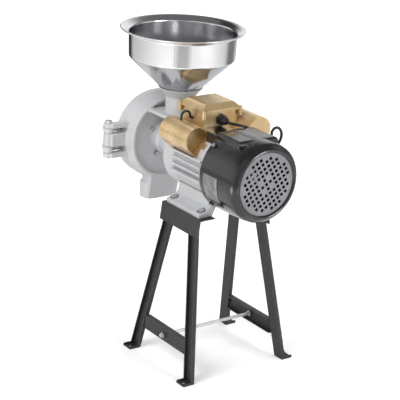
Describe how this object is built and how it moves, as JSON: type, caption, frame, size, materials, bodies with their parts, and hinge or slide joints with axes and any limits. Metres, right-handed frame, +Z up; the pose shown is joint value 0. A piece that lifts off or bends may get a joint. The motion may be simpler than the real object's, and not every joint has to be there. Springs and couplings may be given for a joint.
{
  "type": "electric grain mill",
  "caption": "Electric disc mill for grain: motor on a four-legged stand, round grinding head with hinged door, flour chute and steel feed hopper.",
  "frame": {"origin": "centre of the four foot screw holes, on the floor", "axes": "+Z up, +X along the motor shaft towards the fan, -Y towards the door hinge"},
  "size_m": [0.538, 0.3451, 0.774],
  "materials": {
    "stand_paint": "fine-textured charcoal powder coat",
    "zinc": "bright zinc plate",
    "silver_aluminium": "silver-grey paint over a sand-cast skin",
    "silver_iron": "silver-grey paint over a sand-cast skin",
    "laminations": "bare stacked sheet",
    "copper": "varnished copper wire",
    "steel": "turned steel",
    "grey_steel": "grey paint on punched sheet",
    "black_gloss": "gloss black paint",
    "gold": "gold metallic paint",
    "black_plastic": "moulded black",
    "capacitor_can": "moulded grey",
    "cord_rubber": "black cord sheath",
    "black_knob": "moulded black, smooth",
    "disc_iron": "machined grey iron",
    "polished_steel": "polished stainless sheet"
  },
  "bodies": {
    "frame": {"left_rail": "stand_paint", "right_rail": "stand_paint", "left_rear_leg": "stand_paint", "left_front_leg": "stand_paint", "right_rear_leg": "stand_paint", "right_front_leg": "stand_paint", "left_brace": "stand_paint", "right_brace": "stand_paint", "tie_rod": "zinc", "tie_rod_nuts": "zinc", "motor_foot_bolts": "zinc", "motor_foot_nuts": "zinc", "motor_frame": "silver_aluminium", "drive_end_flange": "silver_aluminium", "rear_end_shield": "silver_aluminium", "stator_core": "laminations", "stator_windings": "copper", "motor_bearings": "steel", "fan_cover": "black_gloss", "fan_grille": "grey_steel", "fan_cover_screws": "zinc", "terminal_box": "gold", "terminal_box_lid": "gold", "lid_screws": "zinc", "terminal_block": "black_plastic", "cable_gland": "black_plastic", "capacitors": "capacitor_can", "left_capacitor_cover": "gold", "right_capacitor_cover": "gold", "capacitor_cover_screws": "zinc", "capacitor_lead": "cord_rubber", "power_cord": "cord_rubber", "cord_coil": "cord_rubber", "cord_tie": "black_plastic", "plug": "black_plastic", "grinding_case": "silver_iron", "feed_neck": "silver_iron", "flour_chute": "silver_iron", "hinge_pin": "zinc", "fixed_disc": "disc_iron", "shaft_seal": "cord_rubber", "swing_pin": "zinc", "disc_bolts": "zinc", "case_bolts": "zinc"},
    "spindle": {"motor_shaft": "steel", "rotor_core": "laminations", "cooling_fan": "black_plastic", "feed_auger": "steel"},
    "grinding_disc": {"rotating_disc": "disc_iron", "disc_holder": "steel"},
    "door": {"case_door": "silver_iron", "door_lug": "silver_iron", "lock_nut": "zinc"},
    "thrust": {"thrust_pad": "steel"},
    "adjuster": {"adjusting_screw": "steel", "handwheel": "black_knob"},
    "clamp_arm": {"swing_bolt": "zinc"},
    "clamp_slider": {"clamp_washer": "zinc"},
    "clamp_knob": {"clamp_nut": "black_knob"},
    "hopper_body": {"hopper": "polished_steel"}
  },
  "joints": [
    {"name": "spindle_spin", "type": "hinge", "parent": "frame", "child": "spindle", "pos_m": [0, 0, 0.49], "axis": [1, 0, 0], "continuous": true},
    {"name": "disc_feed", "type": "slide", "parent": "spindle", "child": "grinding_disc", "axis": [1, 0, 0], "range_m": [-0.00125, 0.00125]},
    {"name": "door_swing", "type": "hinge", "parent": "frame", "child": "door", "pos_m": [-0.253, -0.145, 0.49], "axis": [0, 0, 1], "range_deg": [0, 110]},
    {"name": "screw_feed", "type": "slide", "parent": "door", "child": "thrust", "axis": [1, 0, 0], "range_m": [-0.00125, 0.00125]},
    {"name": "handwheel_turn", "type": "hinge", "parent": "thrust", "child": "adjuster", "pos_m": [-0.3375, 0, 0.49], "axis": [1, 0, 0], "range_deg": [-180, 180]},
    {"name": "clamp_swing", "type": "hinge", "parent": "frame", "child": "clamp_arm", "pos_m": [-0.243, 0.128, 0.49], "axis": [0, 0, 1], "range_deg": [0, 90]},
    {"name": "clamp_travel", "type": "slide", "parent": "clamp_arm", "child": "clamp_slider", "axis": [0, 1, 0], "range_m": [0, 0.003]},
    {"name": "clamp_nut_turn", "type": "hinge", "parent": "clamp_slider", "child": "clamp_knob", "pos_m": [-0.243, 0.17, 0.49], "axis": [0, 1, 0], "range_deg": [0, 720]},
    {"name": "hopper_lift", "type": "slide", "parent": "frame", "child": "hopper_body", "axis": [0, 0, 1], "range_m": [0, 0.15]}
  ],
  "couplings": [
    {"joint": "disc_feed", "follows": "screw_feed", "ratio": 1},
    {"joint": "handwheel_turn", "follows": "screw_feed", "rad_per_m": 2513.3},
    {"joint": "clamp_nut_turn", "follows": "clamp_travel", "rad_per_m": 4188.8}
  ]
}
